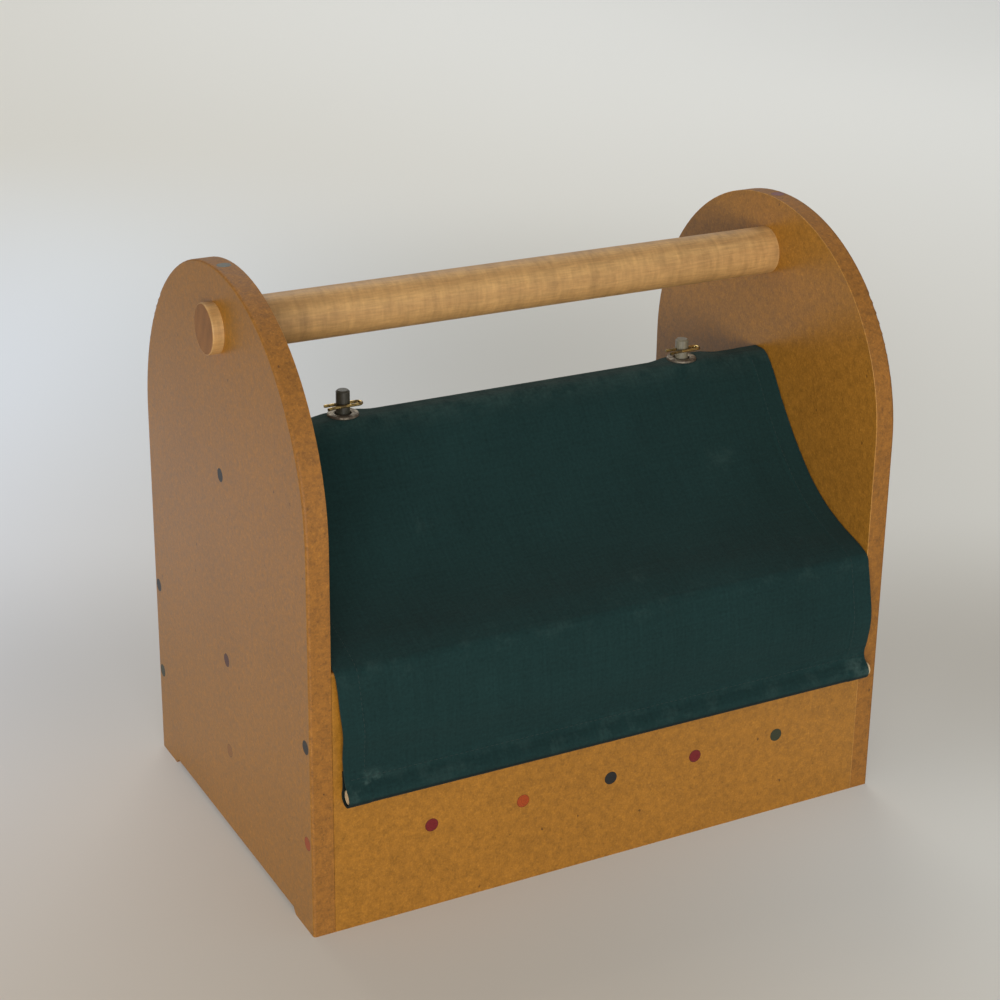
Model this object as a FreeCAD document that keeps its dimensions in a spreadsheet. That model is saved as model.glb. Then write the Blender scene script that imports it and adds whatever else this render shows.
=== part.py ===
import FreeCAD, Part
import math
import os

import Sketcher
from FreeCAD import Placement, Rotation, Vector

# Bobbin box: a carrying box of half-inch board with two arched ends, a round handle,
# a centre divider and a canvas saddle cover that is pegged to the divider's top edge.
# Frame: millimetres, +X along the handle, -Y the front, +Z up, origin on the floor
# under the middle of the box.

# Driving sizes in millimetres
SIZES = {
    # boards
    "box_length": 368.0,
    "box_depth": 240.0,
    "board": 12.7,
    "side_height": 156.0,
    "spring_height": 225.0,
    "edge_round": 1.6,
    "inner_round": 0.5,
    "foot_length": 25.0,
    "foot_relief": 3.5,
    "bottom_middle": 53.0,
    "ridge_height": 247.5,
    "ridge_round": 2.5,
    # pegs that pin the boards together
    "peg": 7.94,
    "peg_seat": 25.0,
    "row_stray": 2.0,
    "mid_row_drop": 43.0,
    "top_row_drop": 21.5,
    "row_inset": 57.9,
    # carrying handle
    "handle": 28.6,
    "handle_drop": 34.0,
    "handle_stub": 6.5,
    "handle_round": 1.0,
    "handle_pin_seat": 16.0,
    # posts and hairpin clips that hold the cover down
    "post_inset_left": 61.3,
    "post_inset_right": 57.8,
    "post_rise_left": 16.8,
    "post_rise_right": 14.8,
    "post_seat": 30.0,
    "post_chamfer": 0.9,
    "clip_wire": 1.8,
    "clip_rise": 8.6,
    "clip_bore_gap": 0.1,
    "clip_post_gap": 0.15,
    "clip_leg": 11.4,
    "clip_bend_reach": 7.6,
    "clip_flare_start": 5.2,
    "clip_flare_radius": 17.0,
    # canvas cover
    "canvas": 1.2,
    "canvas_gap": 0.3,
    "cover_gap_left": 3.8,
    "cover_gap_right": 0.8,
    "ridge_bend": 1.2,
    "hinge_reach": 4.0,
    "knee_out": 61.4,
    "knee_height": 181.4,
    "knee_bend": 80.0,
    "lip_stand": 1.7,
    "lip_bend": 5.0,
    "bulge_out": 8.3,
    "bulge_drop": 35.0,
    "bulge_bend": 60.0,
    "hem_drop": 71.7,
    "hem_gap": 0.15,
    "hem_rod_shift": 2.0,
    # eyelets of the cover
    "grommet_hole": 9.5,
    "grommet_wall": 0.45,
    "grommet_flange": 18.0,
    "grommet_rise": 1.4,
    "grommet_round": 0.84,
    "washer": 0.6,
    "washer_gap": 0.2,
}

# Places of a row's pegs, counted in pitches from the middle
ROW_PLACES = (-2, -1, 0, 1, 2)

# Where the flap's end is sewn to its hem, in degrees from the top of the tunnel
SEAM_ANGLE = 15

# How closely an edge has to lie at a place to be taken for one there
NEAR = 0.01

# Sizes that follow from the driving ones, as expressions
INNER_LENGTH = "(Sizes.box_length - 2 * Sizes.board)"
INNER_DEPTH = "(Sizes.box_depth - 2 * Sizes.board)"
END_MIDDLE = "(Sizes.box_length / 2 - Sizes.board / 2)"
SIDE_MIDDLE = "(Sizes.box_depth / 2 - Sizes.board / 2)"
ARCH_TOP = "(Sizes.spring_height + Sizes.box_depth / 2)"
BOTTOM_UNDER = "(Sizes.bottom_middle - Sizes.board / 2)"
BOTTOM_TOP = "(Sizes.bottom_middle + Sizes.board / 2)"
HANDLE_HEIGHT = "(%s - Sizes.handle_drop)" % ARCH_TOP
HANDLE_TOP = "(%s + Sizes.handle / 2)" % HANDLE_HEIGHT
LOW_ROW = "(Sizes.bottom_middle + Sizes.row_stray)"
BOTTOM_ROW = "(Sizes.bottom_middle - Sizes.row_stray)"
MID_ROW = "(Sizes.side_height - Sizes.mid_row_drop)"
TOP_ROW = "(Sizes.ridge_height - Sizes.top_row_drop)"
ROW_PITCH = "((%s - 2 * Sizes.row_inset) / %d)" % (INNER_LENGTH, len(ROW_PLACES) - 1)
PEG_LENGTH = "(Sizes.board + Sizes.peg_seat)"
POST_PLACES = {
    "left": "(Sizes.post_inset_left - %s / 2)" % INNER_LENGTH,
    "right": "(%s / 2 - Sizes.post_inset_right)" % INNER_LENGTH,
}
COVER_LEFT = "(Sizes.cover_gap_left - %s / 2)" % INNER_LENGTH
COVER_WIDTH = "(%s - Sizes.cover_gap_left - Sizes.cover_gap_right)" % INNER_LENGTH
CANVAS_UNDER = "(Sizes.ridge_height + Sizes.washer_gap + Sizes.washer)"
CANVAS_TOP = "(%s + Sizes.canvas)" % CANVAS_UNDER
RIDGE_FLAT = "(Sizes.grommet_flange / 2 + Sizes.ridge_bend)"
BARREL_RADIUS = "(Sizes.grommet_hole / 2 + Sizes.grommet_wall)"
CLIP_SPAN = "(Sizes.peg / 2 + Sizes.clip_wire / 2 + Sizes.clip_post_gap)"

doc = FreeCAD.newDocument("bobbin_box")
sheet = doc.addObject("Spreadsheet::Sheet", "Sizes")
parts = []


def fill_sheet():
    for row, (alias, number) in enumerate(SIZES.items(), start=1):
        sheet.set("A%d" % row, alias)
        sheet.set("B%d" % row, str(number))
        sheet.setAlias("B%d" % row, alias)
    doc.recompute()


def value(expression):
    """The number that an expression on the sheet gives now."""
    return float(sheet.evalExpression(expression.replace("Sizes.", "")))


def bind(item, **expressions):
    """Ties properties of an object to expressions; x, y and z are its place."""
    for name, expression in expressions.items():
        path = ".Placement.Base.%s" % name if name in "xyz" else name
        item.setExpression(path, expression)


def keep(item):
    parts.append(item)
    return item


# Sketch and feature helpers


def new_body(label):
    return keep(doc.addObject("PartDesign::Body", label))


def origin_plane(body, role):
    return next(item for item in body.Origin.OriginFeatures if item.Role == role)


def sketch_on(body, name, role, lift=None):
    """A sketch on one of the body's origin planes, lifted along the plane's normal."""
    sketch = body.newObject("Sketcher::SketchObject", name)
    sketch.AttachmentSupport = [(origin_plane(body, role), "")]
    sketch.MapMode = "FlatFace"
    if lift:
        sketch.setExpression("AttachmentOffset.Base.z", lift)
    return sketch


def tie(sketch, kind, *places, to):
    """A dimension of a sketch that is driven by an expression."""
    index = sketch.addConstraint(Sketcher.Constraint(kind, *places, value(to)))
    sketch.setExpression("Constraints[%d]" % index, to)


def pin_point(sketch, shape, point, across, up):
    tie(sketch, "DistanceX", -1, 1, shape, point, to=across)
    tie(sketch, "DistanceY", -1, 1, shape, point, to=up)


def add_circle(sketch, across, up, diameter):
    centre = Vector(value(across), value(up), 0)
    circle = sketch.addGeometry(Part.Circle(centre, Vector(0, 0, 1), value(diameter) / 2))
    pin_point(sketch, circle, 3, across, up)
    tie(sketch, "Diameter", circle, to=diameter)


def add_lines(sketch, points, closed=True):
    """Straight lines through points given as pairs of expressions."""
    spots = [Vector(value(across), value(up), 0) for across, up in points]
    ends = spots[1:] + spots[:1] if closed else spots[1:]
    lines = [sketch.addGeometry(Part.LineSegment(a, b)) for a, b in zip(spots, ends)]
    for line, (across, up) in zip(lines, points):
        pin_point(sketch, line, 1, across, up)
    if not closed:
        pin_point(sketch, lines[-1], 2, *points[-1])
    followers = lines[1:] + lines[:1] if closed else lines[1:]
    for line, follower in zip(lines, followers):
        sketch.addConstraint(Sketcher.Constraint("Coincident", line, 2, follower, 1))
    return lines


def add_block(sketch, across, up):
    """A rectangle between two pairs of expressions."""
    (left, right), (low, high) = across, up
    return add_lines(sketch, [(left, low), (right, low), (right, high), (left, high)])


def pad(body, sketch, length):
    feature = body.newObject("PartDesign::Pad", "Pad")
    feature.Profile = sketch
    bind(feature, Length=length)
    doc.recompute()
    return feature


def pocket(body, sketch, depth):
    """A pocket that runs against the sketch plane's normal, and must take material away."""
    before = body.Shape.Volume
    feature = body.newObject("PartDesign::Pocket", "Pocket")
    feature.Profile = sketch
    bind(feature, Length=depth)
    doc.recompute()
    if not body.Shape.Volume < before:
        raise RuntimeError("%s: a pocket cuts nothing" % body.Label)
    return feature


def mirror(body, feature, role):
    """The feature's copy on the other side of an origin plane."""
    before = body.Shape.Volume
    copy = body.newObject("PartDesign::Mirrored", "Mirrored")
    copy.Originals = [feature]
    copy.MirrorPlane = (origin_plane(body, role), [""])
    body.Tip = copy
    doc.recompute()
    if not body.Shape.Volume < before:
        raise RuntimeError("%s: a mirrored pocket cuts nothing" % body.Label)


def round_edges(body, kind, size, chosen):
    """A fillet or chamfer on the edges of the body's shape that pass the test."""
    base = body.Tip
    names = ["Edge%d" % n for n, edge in enumerate(base.Shape.Edges, start=1) if chosen(edge)]
    feature = body.newObject("PartDesign::%s" % kind, kind)
    feature.Base = (base, names)
    bind(feature, **{"Radius" if kind == "Fillet" else "Size": size})
    doc.recompute()


def level(edge, axis, place):
    """True if the whole edge lies at one place along an axis (0, 1 or 2)."""
    box = edge.BoundBox
    low = (box.XMin, box.YMin, box.ZMin)[axis]
    high = (box.XMax, box.YMax, box.ZMax)[axis]
    return abs(low - place) < NEAR and abs(high - place) < NEAR


def round_peg(label, direction, length, x, y, z, diameter="Sizes.peg"):
    """A plain round peg that starts at a place and runs along a direction."""
    peg = keep(doc.addObject("Part::Cylinder", label))
    peg.Placement = Placement(Vector(), Rotation(Vector(0, 0, 1), direction))
    bind(peg, Radius="%s / 2" % diameter, Height=length, x=x, y=y, z=z)
    return peg


# Boards


def end_panel(label, x, outer, inner):
    """An arched end with two feet, drilled for its pegs, the handle and the handle's pin.

    Its outer face is rounded more than its inner one, which meets the front and back boards.
    """
    body = new_body(label)
    half = "Sizes.box_depth / 2"
    foot = "(%s - Sizes.foot_length)" % half
    step = "(%s - Sizes.foot_relief)" % foot
    outline = sketch_on(body, "Outline", "YZ_Plane")
    lines = add_lines(
        outline,
        [
            ("-" + half, "Sizes.spring_height"),
            ("-" + half, "0"),
            ("-" + foot, "0"),
            ("-" + step, "Sizes.foot_relief"),
            (step, "Sizes.foot_relief"),
            (foot, "0"),
            (half, "0"),
            (half, "Sizes.spring_height"),
        ],
        closed=False,
    )
    centre = Vector(0, value("Sizes.spring_height"), 0)
    circle = Part.Circle(centre, Vector(0, 0, 1), value(half))
    arch = outline.addGeometry(Part.ArcOfCircle(circle, 0, math.pi))
    outline.addConstraint(Sketcher.Constraint("Coincident", arch, 1, lines[-1], 2))
    outline.addConstraint(Sketcher.Constraint("Coincident", arch, 2, lines[0], 1))
    tie(outline, "DistanceY", -1, 1, arch, 3, to="Sizes.spring_height")
    pad(body, outline, "Sizes.board")

    relief = value("Sizes.foot_relief")
    for face, size in ((outer, "Sizes.edge_round"), (inner, "Sizes.inner_round")):
        place = value(face)
        round_edges(
            body,
            "Fillet",
            size,
            lambda edge: edge.BoundBox.ZMax > relief + NEAR and level(edge, 0, place),
        )

    bores = sketch_on(body, "Bores", "YZ_Plane", lift="Sizes.board")
    for across in ("-" + SIDE_MIDDLE, "0", SIDE_MIDDLE):
        for row in (LOW_ROW, MID_ROW):
            add_circle(bores, across, row, "Sizes.peg")
    add_circle(bores, "0", TOP_ROW, "Sizes.peg")
    add_circle(bores, "0", HANDLE_HEIGHT, "Sizes.handle")
    pocket(body, bores, "Sizes.board")

    crown = sketch_on(body, "CrownBore", "XY_Plane", lift=ARCH_TOP)
    add_circle(crown, "Sizes.board / 2", "0", "Sizes.peg")
    pocket(body, crown, "Sizes.handle_drop")
    bind(body, x=x)


def side_panel(label, y):
    """The front or back board, drilled for the bottom's pegs and for the pegs in its ends."""
    body = new_body(label)
    half = INNER_LENGTH + " / 2"
    outline = sketch_on(body, "Outline", "XY_Plane")
    add_block(outline, ("-" + half, half), ("0", "Sizes.board"))
    pad(body, outline, "Sizes.side_height")
    top = value("Sizes.side_height")
    length = value(INNER_LENGTH)
    round_edges(
        body,
        "Fillet",
        "Sizes.edge_round",
        lambda edge: level(edge, 2, top) and edge.BoundBox.XLength > length / 2,
    )

    row = sketch_on(body, "BottomBores", "XZ_Plane")
    for place in ROW_PLACES:
        add_circle(row, "%d * %s" % (place, ROW_PITCH), BOTTOM_ROW, "Sizes.peg")
    pocket(body, row, "Sizes.board")

    ends = sketch_on(body, "EndBores", "YZ_Plane", lift=half)
    for height in (LOW_ROW, MID_ROW):
        add_circle(ends, "Sizes.board / 2", height, "Sizes.peg")
    mirror(body, pocket(body, ends, "Sizes.peg_seat"), "YZ_Plane")
    bind(body, y=y)


def bottom_board():
    """The raised bottom, pegged from the front, the back and both ends."""
    body = new_body("bottom_board")
    half = INNER_LENGTH + " / 2"
    edge = INNER_DEPTH + " / 2"
    outline = sketch_on(body, "Outline", "XY_Plane")
    add_block(outline, ("-" + half, half), ("-" + edge, edge))
    pad(body, outline, "Sizes.board")

    row = sketch_on(body, "RowBores", "XZ_Plane", lift=edge)
    for place in ROW_PLACES:
        height = "%s - %s" % (BOTTOM_ROW, BOTTOM_UNDER)
        add_circle(row, "%d * %s" % (place, ROW_PITCH), height, "Sizes.peg")
    mirror(body, pocket(body, row, "Sizes.peg_seat"), "XZ_Plane")

    ends = sketch_on(body, "EndBores", "YZ_Plane", lift=half)
    add_circle(ends, "0", "%s - %s" % (LOW_ROW, BOTTOM_UNDER), "Sizes.peg")
    mirror(body, pocket(body, ends, "Sizes.peg_seat"), "YZ_Plane")
    bind(body, z=BOTTOM_UNDER)


def divider():
    """The centre board: it stands on the bottom and its rounded top edge is the ridge."""
    body = new_body("divider")
    half = INNER_LENGTH + " / 2"
    outline = sketch_on(body, "Outline", "XY_Plane")
    add_block(outline, ("-" + half, half), ("-Sizes.board / 2", "Sizes.board / 2"))
    rise = "(Sizes.ridge_height - %s)" % BOTTOM_TOP
    pad(body, outline, rise)
    top = value(rise)
    length = value(INNER_LENGTH)
    round_edges(
        body,
        "Fillet",
        "Sizes.ridge_round",
        lambda edge: level(edge, 2, top) and edge.BoundBox.XLength > length / 2,
    )

    ends = sketch_on(body, "EndBores", "YZ_Plane", lift=half)
    for height in (MID_ROW, TOP_ROW):
        add_circle(ends, "0", "%s - %s" % (height, BOTTOM_TOP), "Sizes.peg")
    mirror(body, pocket(body, ends, "Sizes.peg_seat"), "YZ_Plane")

    posts = sketch_on(body, "PostBores", "XY_Plane", lift=rise)
    for across in POST_PLACES.values():
        add_circle(posts, across, "0", "Sizes.peg")
    pocket(body, posts, "Sizes.post_seat")
    bind(body, z=BOTTOM_TOP)


# Handle


def handle():
    """The round handle with softened ends, bored from above for its two pins."""
    body = new_body("handle")
    reach = "(Sizes.box_length / 2 + Sizes.handle_stub)"
    section = sketch_on(body, "Section", "YZ_Plane", lift="-" + reach)
    add_circle(section, "0", "0", "Sizes.handle")
    pad(body, section, "2 * " + reach)
    ends = (-value(reach), value(reach))
    round_edges(
        body,
        "Fillet",
        "Sizes.handle_round",
        lambda edge: any(level(edge, 0, end) for end in ends),
    )
    bores = sketch_on(body, "PinBores", "XY_Plane", lift="Sizes.handle / 2")
    for across in ("-" + END_MIDDLE, END_MIDDLE):
        add_circle(bores, across, "0", "Sizes.peg")
    pocket(body, bores, "Sizes.handle_pin_seat")
    bind(body, z=HANDLE_HEIGHT)


def handle_pins():
    foot = "(%s - Sizes.handle_pin_seat)" % HANDLE_TOP
    length = "%s - %s" % (ARCH_TOP, foot)
    for side, x in (("left", "-" + END_MIDDLE), ("right", END_MIDDLE)):
        round_peg("handle_pin_" + side, Vector(0, 0, 1), length, x, "0", foot)


# Pegs


def end_pegs():
    """Seven pegs through each end: two in the front, three in the middle, two in the back."""
    lines = {"front": "-" + SIDE_MIDDLE, "centre": "0", "back": SIDE_MIDDLE}
    sides = {"left": ("-Sizes.box_length / 2", 1), "right": ("Sizes.box_length / 2", -1)}
    rows = {"low": LOW_ROW, "mid": MID_ROW, "top": TOP_ROW}
    for side, (x, inward) in sides.items():
        for line, y in lines.items():
            for row, z in rows.items():
                if row == "top" and line != "centre":
                    continue
                label = "peg_%s_%s_%s" % (side, line, row)
                round_peg(label, Vector(inward, 0, 0), PEG_LENGTH, x, y, z)


def bottom_pegs():
    """Five pegs through the front and five through the back, into the bottom's edges."""
    sides = {"front": ("-Sizes.box_depth / 2", 1), "back": ("Sizes.box_depth / 2", -1)}
    for side, (y, inward) in sides.items():
        for number, place in enumerate(ROW_PLACES, start=1):
            label = "peg_%s_%d" % (side, number)
            x = "%d * %s" % (place, ROW_PITCH)
            round_peg(label, Vector(0, inward, 0), PEG_LENGTH, x, y, BOTTOM_ROW)


# Posts and clips


def cover_post(side, x):
    """A peg in the ridge, cross-bored above the cover for its clip."""
    body = new_body("cover_post_" + side)
    section = sketch_on(body, "Section", "XY_Plane", lift="-Sizes.post_seat")
    add_circle(section, "0", "0", "Sizes.peg")
    rise = "Sizes.post_rise_" + side
    pad(body, section, "Sizes.post_seat + " + rise)
    top = value(rise)
    round_edges(body, "Chamfer", "Sizes.post_chamfer", lambda edge: level(edge, 2, top))
    bore = sketch_on(body, "ClipBore", "YZ_Plane", lift="Sizes.peg")
    add_circle(bore, "0", "Sizes.clip_rise", "Sizes.clip_wire + 2 * Sizes.clip_bore_gap")
    pocket(body, bore, "2 * Sizes.peg")
    bind(body, x=x, z="Sizes.ridge_height")


def hairpin_clip(side, x):
    """A bent wire: one leg goes through the post, the other lies along its front."""
    body = new_body("hairpin_clip_" + side)
    route = sketch_on(body, "Route", "XY_Plane")
    front = "-" + CLIP_SPAN
    through = add_lines(
        route, [("-Sizes.clip_leg", "0"), ("Sizes.clip_bend_reach", "0")], closed=False
    )[0]
    beside = add_lines(
        route,
        [("Sizes.clip_bend_reach", front), ("-Sizes.clip_flare_start", front)],
        closed=False,
    )[0]

    span = value(CLIP_SPAN)
    bend_centre = Vector(value("Sizes.clip_bend_reach"), -span / 2, 0)
    bend = route.addGeometry(
        Part.ArcOfCircle(
            Part.Circle(bend_centre, Vector(0, 0, 1), span / 2), -math.pi / 2, math.pi / 2
        )
    )
    route.addConstraint(Sketcher.Constraint("Coincident", bend, 2, through, 2))
    route.addConstraint(Sketcher.Constraint("Coincident", bend, 1, beside, 1))
    tie(route, "DistanceX", -1, 1, bend, 3, to="Sizes.clip_bend_reach")

    radius = value("Sizes.clip_flare_radius")
    start = value("Sizes.clip_flare_start")
    flare_centre = Vector(-start, -span - radius, 0)
    sweep = math.asin((value("Sizes.clip_leg") - start) / radius)
    flare = route.addGeometry(
        Part.ArcOfCircle(
            Part.Circle(flare_centre, Vector(0, 0, 1), radius), math.pi / 2, math.pi / 2 + sweep
        )
    )
    route.addConstraint(Sketcher.Constraint("Coincident", flare, 1, beside, 2))
    pin_point(route, flare, 3, "-Sizes.clip_flare_start", front + " - Sizes.clip_flare_radius")
    tie(route, "DistanceX", -1, 1, flare, 2, to="-Sizes.clip_leg")

    section = sketch_on(body, "Section", "YZ_Plane", lift="-Sizes.clip_leg")
    add_circle(section, "0", "0", "Sizes.clip_wire")
    doc.recompute()
    wire = body.newObject("PartDesign::AdditivePipe", "Wire")
    wire.Profile = section
    wire.Spine = (route, ["Edge%d" % (n + 1) for n in range(len(route.Shape.Edges))])
    doc.recompute()
    bind(body, x=x, z="Sizes.ridge_height + Sizes.clip_rise")


# Eyelets


def grommet(side, x):
    """The eyelet: a rolled flange on the canvas and a barrel down through canvas and washer."""
    body = new_body("grommet_" + side)
    hole = "Sizes.grommet_hole / 2"
    rim = "Sizes.grommet_flange / 2"
    foot = "-(Sizes.canvas + Sizes.washer)"
    section = sketch_on(body, "Section", "XZ_Plane")
    add_lines(
        section,
        [
            (hole, foot),
            (BARREL_RADIUS, foot),
            (BARREL_RADIUS, "0"),
            (rim, "0"),
            (rim, "Sizes.grommet_rise"),
            (hole, "Sizes.grommet_rise"),
        ],
    )
    turn = body.newObject("PartDesign::Revolution", "Turn")
    turn.Profile = section
    turn.ReferenceAxis = (section, ["V_Axis"])
    turn.Angle = 360.0
    doc.recompute()
    top = value("Sizes.grommet_rise")
    round_edges(body, "Fillet", "Sizes.grommet_round", lambda edge: level(edge, 2, top))
    bind(body, x=x, z=CANVAS_TOP)


def grommet_washer(side, x):
    """The flat ring that the barrel is clinched over, under the canvas."""
    body = new_body("grommet_washer_" + side)
    section = sketch_on(body, "Section", "XY_Plane")
    add_circle(section, "0", "0", "Sizes.grommet_flange")
    add_circle(section, "0", "0", "2 * " + BARREL_RADIUS)
    pad(body, section, "Sizes.washer")
    bind(body, x=x, z="Sizes.ridge_height + Sizes.washer_gap")


# Canvas cover: the outlines are written as (distance out from the ridge line, height)


def ridge_corner():
    """Where the cover's flat top meets its slope, on the canvas's middle surface."""
    return Vector(0, value(RIDGE_FLAT), value(CANVAS_TOP) - value("Sizes.canvas") / 2)


def knee():
    return Vector(0, value("Sizes.knee_out"), value("Sizes.knee_height"))


def slope():
    return (knee() - ridge_corner()).normalize()


def hinge_line():
    """The line where a flap bends away from the saddle."""
    return ridge_corner() + slope() * value("Sizes.hinge_reach")


def hem_wall():
    """Inner and outer radius of the hem's tunnel round its rod."""
    inner = value("Sizes.peg / 2 + Sizes.hem_gap")
    return inner, inner + value("Sizes.canvas")


def hem_middle():
    out = value("Sizes.box_depth / 2 + Sizes.canvas_gap") + hem_wall()[1]
    return Vector(0, out, value("Sizes.side_height - Sizes.hem_drop"))


def flap_route():
    """The flap's middle line from hinge to hem, with the bend at each inner corner."""
    front = value("Sizes.box_depth / 2")
    top = value("Sizes.side_height")
    stand = value("Sizes.lip_stand")
    lip = Vector(0, front + stand, top + stand)
    bulge = Vector(0, front + value("Sizes.bulge_out"), top - value("Sizes.bulge_drop"))
    inner, outer = hem_wall()
    turn = math.radians(SEAM_ANGLE)
    towards_seam = Vector(0, -math.sin(turn), math.cos(turn))
    seam = hem_middle() + towards_seam * ((inner + outer) / 2)
    corners = [hinge_line(), knee(), lip, bulge, seam]
    bends = [value("Sizes.%s_bend" % name) for name in ("knee", "lip", "bulge")]
    return corners, bends


def saddle_route():
    """The saddle's middle line, from one hinge line over the ridge to the other."""
    nose = value("Sizes.canvas / 2 + Sizes.canvas_gap")
    end = hinge_line() - slope() * nose
    near, far = ridge_corner(), end
    corners = [far, near, mirrored(near), mirrored(far)]
    return corners, [value("Sizes.ridge_bend")] * 2


def mirrored(point):
    return Vector(point.x, -point.y, point.z)


def sheet_side(corners, bends, offset):
    """One face of a bent sheet as lines and arcs, at an offset from its middle line."""
    edges = []
    across = Vector(1, 0, 0)
    start = corners[0] + across.cross((corners[1] - corners[0]).normalize()) * offset
    for before, corner, after, bend in zip(corners, corners[1:], corners[2:], bends):
        arriving = (corner - before).normalize()
        leaving = (after - corner).normalize()
        hand = math.copysign(1, arriving.cross(leaving).x)
        reach = bend * math.tan(arriving.getAngle(leaving) / 2)
        centre = corner - arriving * reach + across.cross(arriving) * (hand * bend)
        radius = bend - hand * offset
        first = corner - arriving * reach + across.cross(arriving) * offset
        last = corner + leaving * reach + across.cross(leaving) * offset
        middle = centre + (corner - centre).normalize() * radius
        edges.append(Part.LineSegment(start, first).toShape())
        edges.append(Part.Arc(first, middle, last).toShape())
        start = last
    end = corners[-1] + across.cross((corners[-1] - corners[-2]).normalize()) * offset
    edges.append(Part.LineSegment(start, end).toShape())
    return edges


def bent_sheet(corners, bends, nose):
    """The section of a sheet of canvas along a bent route, with a round nose or a square end."""
    half = value("Sizes.canvas") / 2
    left = sheet_side(corners, bends, half)
    right = sheet_side(corners, bends, -half)
    tail = Part.LineSegment(left[-1].Vertexes[-1].Point, right[-1].Vertexes[-1].Point).toShape()
    one, other = left[0].Vertexes[0].Point, right[0].Vertexes[0].Point
    if nose:
        tip = corners[0] - (corners[1] - corners[0]).normalize() * half
        head = Part.Arc(one, tip, other).toShape()
    else:
        head = Part.LineSegment(one, other).toShape()
    edges = Part.__sortEdges__(left + right + [tail, head])
    return Part.Face(Part.Wire(edges))


def soft_part(label, shape):
    item = keep(doc.addObject("Part::Feature", label))
    item.Shape = shape
    item.Placement = Placement(Vector(value(COVER_LEFT), 0, 0), Rotation())


def cover_saddle():
    """The canvas over the ridge, with a hole for each grommet's barrel."""
    width = value(COVER_WIDTH)
    canvas = bent_sheet(*saddle_route(), nose=False).extrude(Vector(width, 0, 0))
    middle = -value(COVER_LEFT)
    for place in POST_PLACES.values():
        foot = Vector(middle + value(place), 0, value("Sizes.ridge_height"))
        bore = Part.makeCylinder(value(BARREL_RADIUS), value("Sizes.clip_rise"), foot)
        canvas = canvas.cut(bore)
    soft_part("cover_saddle", canvas)


def cover_flap(label, side):
    """A hanging flap: slope, knee, lip over the board's top edge, bulge and tunnel hem."""
    width = value(COVER_WIDTH)
    canvas = bent_sheet(*flap_route(), nose=True).extrude(Vector(width, 0, 0))
    inner, outer = hem_wall()
    along = Vector(1, 0, 0)
    canvas = canvas.fuse(Part.makeCylinder(outer, width, hem_middle(), along))
    canvas = canvas.cut(Part.makeCylinder(inner, width, hem_middle(), along)).removeSplitter()
    if side < 0:
        canvas = canvas.mirror(Vector(), Vector(0, 1, 0))
    soft_part(label, canvas)


def hem_rod(label, side):
    start = COVER_LEFT + " + Sizes.hem_rod_shift"
    out = "(Sizes.box_depth / 2 + Sizes.canvas_gap + Sizes.peg / 2 + Sizes.hem_gap + Sizes.canvas)"
    y = ("-" if side < 0 else "") + out
    z = "Sizes.side_height - Sizes.hem_drop"
    round_peg(label, Vector(1, 0, 0), COVER_WIDTH, start, y, z)


# Assembly


def build():
    fill_sheet()
    end_panel("end_panel_left", "-Sizes.box_length / 2", outer="0", inner="Sizes.board")
    end_panel("end_panel_right", "Sizes.box_length / 2 - Sizes.board", outer="Sizes.board", inner="0")
    side_panel("front_panel", "-Sizes.box_depth / 2")
    side_panel("back_panel", "Sizes.box_depth / 2 - Sizes.board")
    bottom_board()
    divider()
    handle()
    handle_pins()
    end_pegs()
    bottom_pegs()
    for side, x in POST_PLACES.items():
        cover_post(side, x)
        hairpin_clip(side, x)
        grommet(side, x)
        grommet_washer(side, x)
    cover_saddle()
    cover_flap("cover_front_flap", -1)
    cover_flap("cover_back_flap", 1)
    hem_rod("hem_rod_front", -1)
    hem_rod("hem_rod_back", 1)
    doc.recompute()


def check():
    for item in doc.Objects:
        if "Invalid" in item.State or "Error" in item.State:
            raise RuntimeError("%s failed to build: %s" % (item.Label, item.State))
    for item in parts:
        if item.Shape.isNull() or not item.Shape.isValid():
            raise RuntimeError("%s has no valid shape" % item.Label)


def export():
    os.makedirs("parts", exist_ok=True)
    for item in parts:
        item.Shape.exportStep("parts/%s.step" % item.Label)


build()
check()
export()
print("%d parts" % len(parts))
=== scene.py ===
import math

import bpy
from bpy.props import FloatProperty, FloatVectorProperty, PointerProperty
from mathutils import Matrix, Vector, noise


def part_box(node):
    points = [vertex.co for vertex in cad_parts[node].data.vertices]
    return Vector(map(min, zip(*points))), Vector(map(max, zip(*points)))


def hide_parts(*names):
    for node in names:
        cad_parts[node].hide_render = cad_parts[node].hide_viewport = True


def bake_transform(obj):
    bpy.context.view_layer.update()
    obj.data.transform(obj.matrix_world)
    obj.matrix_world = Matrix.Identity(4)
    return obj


# Bobbin box: the looks of a carrying box of sealed fibreboard with a canvas cover.
# Everything is in metres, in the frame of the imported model: +X along the handle,
# -Y the front, +Z up.

bl_info = {
    "name": "Bobbin box",
    "version": (1, 0, 0),
    "blender": (4, 5, 0),
    "location": "View3D > Sidebar > Bobbin box",
    "description": "Finishes the boards, pegs and fittings of a bobbin box and makes its canvas cover",
    "category": "Object",
}

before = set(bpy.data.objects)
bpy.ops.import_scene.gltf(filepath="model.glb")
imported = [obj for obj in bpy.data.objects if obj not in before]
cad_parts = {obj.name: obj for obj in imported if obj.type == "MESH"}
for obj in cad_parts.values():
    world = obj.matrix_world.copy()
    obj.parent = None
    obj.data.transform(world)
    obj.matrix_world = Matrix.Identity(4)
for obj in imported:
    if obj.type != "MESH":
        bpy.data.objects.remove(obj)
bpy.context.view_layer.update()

# The record's material slot of each node, by which its finish is chosen
SLOTS = {node: piece.material_slots[0].material.name for node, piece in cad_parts.items()}


# Sizes and colours that a user would change


def length(name, description, default):
    return FloatProperty(name=name, description=description, default=default, unit="LENGTH", precision=5)


def angle(name, description, degrees):
    return FloatProperty(name=name, description=description, default=math.radians(degrees), subtype="ANGLE")


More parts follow.
